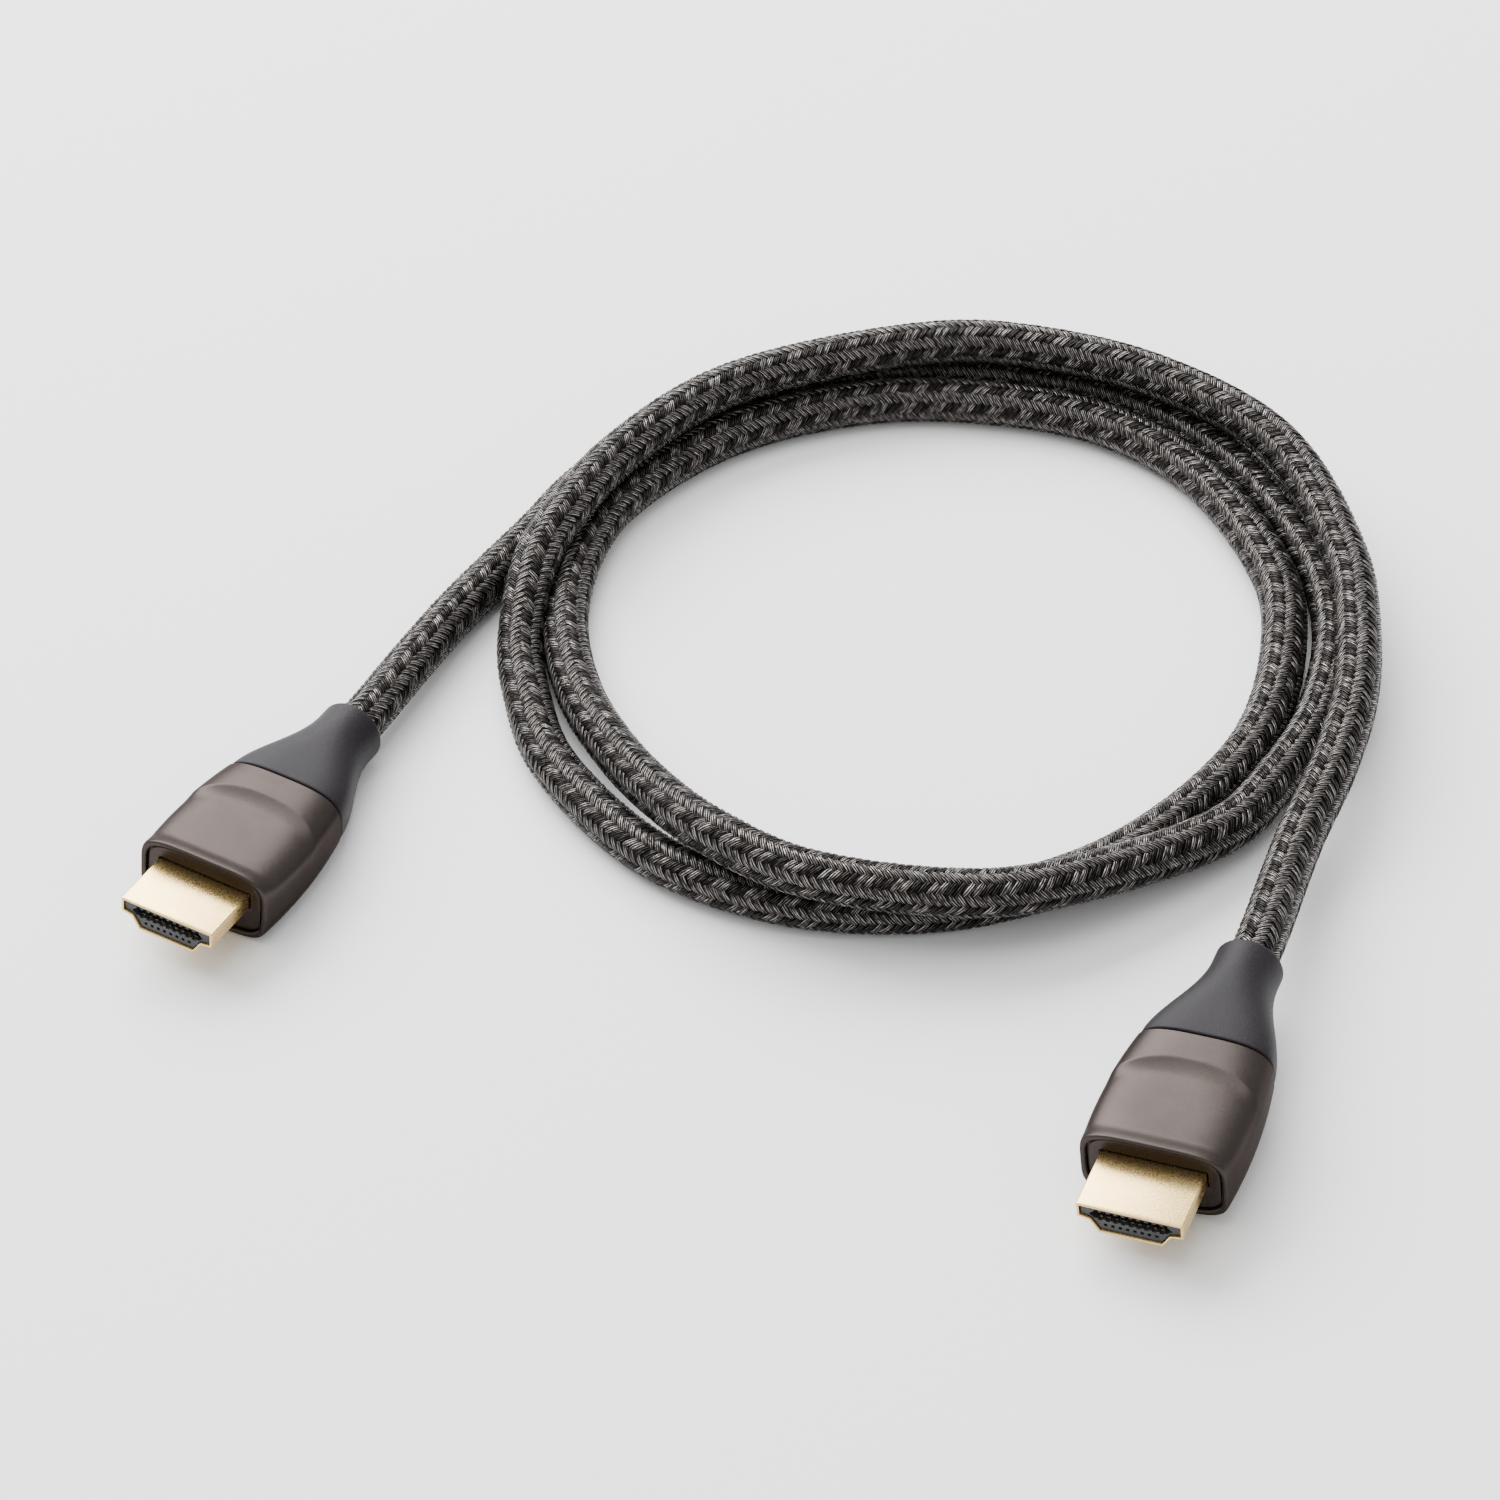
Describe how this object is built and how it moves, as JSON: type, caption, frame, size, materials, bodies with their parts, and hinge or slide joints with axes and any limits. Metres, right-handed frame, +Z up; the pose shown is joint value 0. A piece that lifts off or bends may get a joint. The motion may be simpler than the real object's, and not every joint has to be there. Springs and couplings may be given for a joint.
{
  "type": "hdmi cable",
  "caption": "Loosely looped braided HDMI cable with a gold-shelled type A plug, aluminium housing and rubber strain relief on each end.",
  "frame": {"origin": "on the floor, under the middle of the bounding box", "axes": "+Z up, +Y from the plugs towards the far side of the loops, +X to the right seen from the plugs"},
  "size_m": [0.1708, 0.1856, 0.0134],
  "materials": {
    "gold": "gold plated, satin",
    "contact": "gold plated",
    "plastic": "moulded, dark",
    "aluminium": "anodised taupe grey, satin",
    "rubber": "fine matt grain",
    "braid": "woven nylon, taupe and black"
  },
  "bodies": {
    "root": {"plug_a_shell": "gold", "plug_a_contact_insert": "plastic", "plug_a_contact_upper_1": "contact", "plug_a_contact_upper_2": "contact", "plug_a_contact_upper_3": "contact", "plug_a_contact_upper_4": "contact", "plug_a_contact_upper_5": "contact", "plug_a_contact_upper_6": "contact", "plug_a_contact_upper_7": "contact", "plug_a_contact_upper_8": "contact", "plug_a_contact_upper_9": "contact", "plug_a_contact_upper_10": "contact", "plug_a_contact_lower_1": "contact", "plug_a_contact_lower_2": "contact", "plug_a_contact_lower_3": "contact", "plug_a_contact_lower_4": "contact", "plug_a_contact_lower_5": "contact", "plug_a_contact_lower_6": "contact", "plug_a_contact_lower_7": "contact", "plug_a_contact_lower_8": "contact", "plug_a_contact_lower_9": "contact", "plug_a_housing": "aluminium", "plug_a_strain_relief": "rubber", "plug_b_shell": "gold", "plug_b_contact_insert": "plastic", "plug_b_contact_upper_1": "contact", "plug_b_contact_upper_2": "contact", "plug_b_contact_upper_3": "contact", "plug_b_contact_upper_4": "contact", "plug_b_contact_upper_5": "contact", "plug_b_contact_upper_6": "contact", "plug_b_contact_upper_7": "contact", "plug_b_contact_upper_8": "contact", "plug_b_contact_upper_9": "contact", "plug_b_contact_upper_10": "contact", "plug_b_contact_lower_1": "contact", "plug_b_contact_lower_2": "contact", "plug_b_contact_lower_3": "contact", "plug_b_contact_lower_4": "contact", "plug_b_contact_lower_5": "contact", "plug_b_contact_lower_6": "contact", "plug_b_contact_lower_7": "contact", "plug_b_contact_lower_8": "contact", "plug_b_contact_lower_9": "contact", "plug_b_housing": "aluminium", "plug_b_strain_relief": "rubber", "braided_cable": "braid"}
  },
  "joints": []
}
